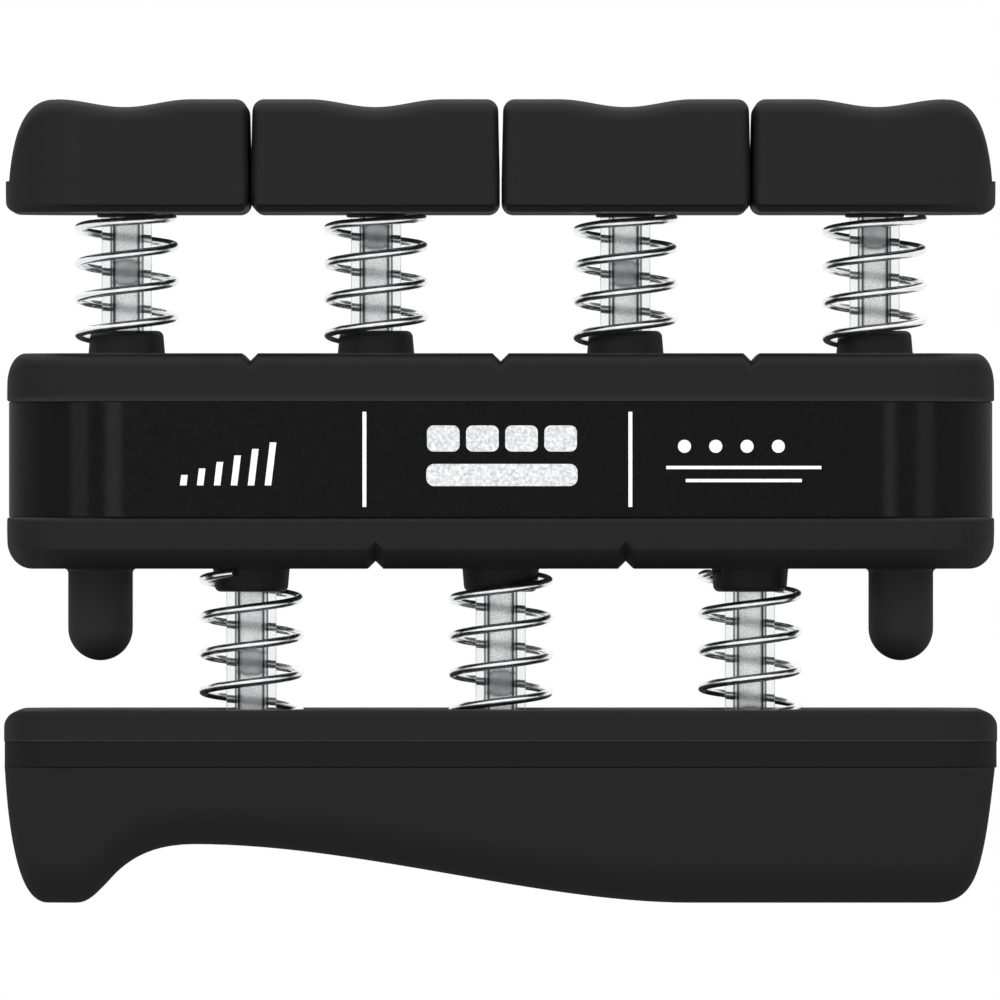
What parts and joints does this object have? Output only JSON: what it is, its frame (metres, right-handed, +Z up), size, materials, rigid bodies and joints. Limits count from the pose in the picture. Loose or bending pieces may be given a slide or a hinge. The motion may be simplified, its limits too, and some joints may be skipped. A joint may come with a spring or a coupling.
{
  "type": "finger exerciser",
  "caption": "Hand-held finger exerciser with separate spring-loaded finger buttons on clear stems, over a housing that slides on sprung stems above a shaped palm grip.",
  "frame": {"origin": "middle of the underside of the palm bar, on the surface it stands on", "axes": "+X along the row of fingers, +Y away from the front, +Z up from the palm bar to the finger buttons"},
  "size_m": [0.0764, 0.024, 0.0617],
  "materials": {
    "grip_rubber": "matte, fine grain",
    "plate_plastic": "satin moulded",
    "shell_plastic": "satin moulded",
    "button_plastic": "satin moulded",
    "label_film": "glossy film",
    "clear_nylon": "clear moulded",
    "spring_steel": "bright drawn wire",
    "screw_steel": "zinc plated"
  },
  "bodies": {
    "palm": {"palm_grip": "grip_rubber", "palm_plate": "plate_plastic", "palm_stem_left": "clear_nylon", "palm_stem_middle": "clear_nylon", "palm_stem_right": "clear_nylon", "palm_screw_left": "screw_steel", "palm_screw_middle": "screw_steel", "palm_screw_right": "screw_steel", "palm_spring_left": "spring_steel", "palm_spring_middle": "spring_steel", "palm_spring_right": "spring_steel"},
    "housing": {"upper_housing": "shell_plastic", "lower_housing": "shell_plastic", "wrap_label": "label_film", "finger_spring_index": "spring_steel", "finger_spring_middle": "spring_steel", "finger_spring_ring": "spring_steel", "finger_spring_little": "spring_steel"},
    "finger_index": {"finger_cap_index": "button_plastic", "finger_tray_index": "button_plastic", "finger_stem_index": "clear_nylon", "finger_screw_index": "screw_steel"},
    "finger_middle": {"finger_cap_middle": "button_plastic", "finger_tray_middle": "button_plastic", "finger_stem_middle": "clear_nylon", "finger_screw_middle": "screw_steel"},
    "finger_ring": {"finger_cap_ring": "button_plastic", "finger_tray_ring": "button_plastic", "finger_stem_ring": "clear_nylon", "finger_screw_ring": "screw_steel"},
    "finger_little": {"finger_cap_little": "button_plastic", "finger_tray_little": "button_plastic", "finger_stem_little": "clear_nylon", "finger_screw_little": "screw_steel"}
  },
  "joints": [
    {"name": "housing_slide", "type": "slide", "parent": "palm", "child": "housing", "axis": [0, 0, -1], "range_m": [0, 0.0037], "stiffness_N_per_m": 3200, "springref_m": -0.004, "deforming": ["palm_spring_left", "palm_spring_middle", "palm_spring_right"]},
    {"name": "index_slide", "type": "slide", "parent": "housing", "child": "finger_index", "axis": [0, 0, -1], "range_m": [0, 0.007], "stiffness_N_per_m": 1100, "springref_m": -0.003, "deforming": ["finger_spring_index"]},
    {"name": "middle_slide", "type": "slide", "parent": "housing", "child": "finger_middle", "axis": [0, 0, -1], "range_m": [0, 0.007], "stiffness_N_per_m": 1100, "springref_m": -0.003, "deforming": ["finger_spring_middle"]},
    {"name": "ring_slide", "type": "slide", "parent": "housing", "child": "finger_ring", "axis": [0, 0, -1], "range_m": [0, 0.007], "stiffness_N_per_m": 1100, "springref_m": -0.003, "deforming": ["finger_spring_ring"]},
    {"name": "little_slide", "type": "slide", "parent": "housing", "child": "finger_little", "axis": [0, 0, -1], "range_m": [0, 0.007], "stiffness_N_per_m": 1100, "springref_m": -0.003, "deforming": ["finger_spring_little"]}
  ]
}
